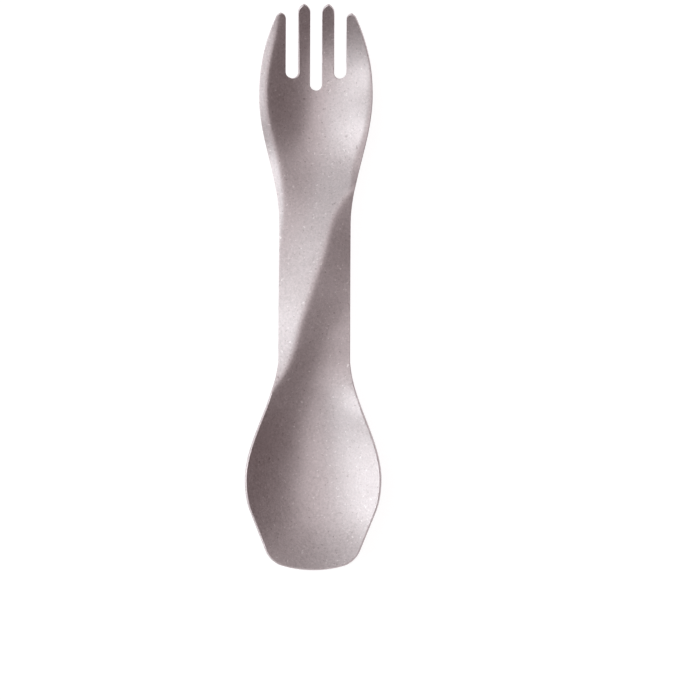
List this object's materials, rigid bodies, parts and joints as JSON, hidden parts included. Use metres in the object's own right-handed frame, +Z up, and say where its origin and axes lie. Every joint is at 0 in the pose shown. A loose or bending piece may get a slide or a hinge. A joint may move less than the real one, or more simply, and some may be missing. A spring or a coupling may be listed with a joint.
{
  "type": "double-ended spoon and fork",
  "caption": "One-piece pressed metal utensil with a spoon bowl at one end, a tined fork at the other, and a diagonally ridged handle between them.",
  "frame": {"origin": "on the table the utensil lies on, under the middle of its bounding box", "axes": "+Y along the utensil from the spoon to the fork, +Z up out of the open side of both bowls, +X to the right seen from above with the fork away from the viewer"},
  "size_m": [0.04, 0.165, 0.0123],
  "materials": {
    "blasted_titanium": "bead-blasted bare titanium sheet: matte, warm grey, fine grained"
  },
  "bodies": {
    "root": {"spoon_and_fork": "blasted_titanium"}
  },
  "joints": []
}
